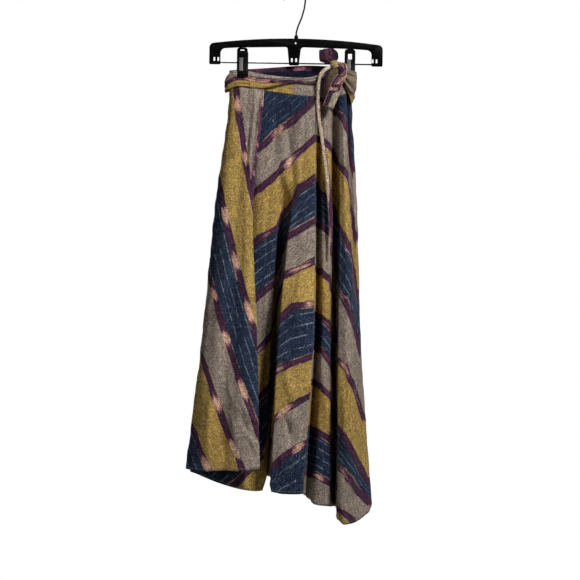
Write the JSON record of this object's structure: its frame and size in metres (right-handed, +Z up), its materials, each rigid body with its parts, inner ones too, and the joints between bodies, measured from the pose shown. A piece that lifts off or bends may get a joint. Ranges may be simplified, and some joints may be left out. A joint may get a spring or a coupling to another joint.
{
  "type": "wrap skirt on a clip hanger",
  "caption": "Long bias-cut wrap skirt of striped handwoven cotton with a bow-tied sash, held at the waist by a clip hanger with a wire hook.",
  "frame": {"origin": "inside of the top of the hanger's hook, where a rail carries it", "axes": "+Z up, the front of the skirt faces -Y, +X to the right as seen from the front"},
  "size_m": [0.4043, 0.1223, 1.0995],
  "materials": {
    "skirt_cotton": "coarse handwoven cotton, matte, broad gold, grey and blue stripes parted by purple ones with pale ikat patches",
    "sash_cotton": "the same cotton folded into a tie, with stitched pale edges",
    "hanger_plastic": "satin moulded black",
    "hanger_steel": "satin"
  },
  "bodies": {
    "root": {"front_gore": "skirt_cotton", "side_gore": "skirt_cotton", "back_gore_right": "skirt_cotton", "back_gore_left": "skirt_cotton", "flap_panel": "skirt_cotton", "waistband_front": "skirt_cotton", "waistband_back": "skirt_cotton", "waistband_flap": "skirt_cotton", "sash_front": "sash_cotton", "sash_back": "sash_cotton", "sash_side": "sash_cotton", "bow_knot": "sash_cotton", "bow_loop_upper": "sash_cotton", "bow_loop_lower": "sash_cotton", "tie_tail_short": "sash_cotton", "tie_tail_long": "sash_cotton", "hanger_body": "hanger_plastic", "hanger_boss": "hanger_plastic", "hanger_hook": "hanger_steel", "hanger_rod": "hanger_steel", "clip_left_back": "hanger_plastic", "clip_left_front": "hanger_plastic", "clip_left_cheek_left": "hanger_plastic", "clip_left_cheek_right": "hanger_plastic", "clip_left_spring": "hanger_steel", "clip_right_back": "hanger_plastic", "clip_right_front": "hanger_plastic", "clip_right_cheek_left": "hanger_plastic", "clip_right_cheek_right": "hanger_plastic", "clip_right_spring": "hanger_steel"}
  },
  "joints": []
}
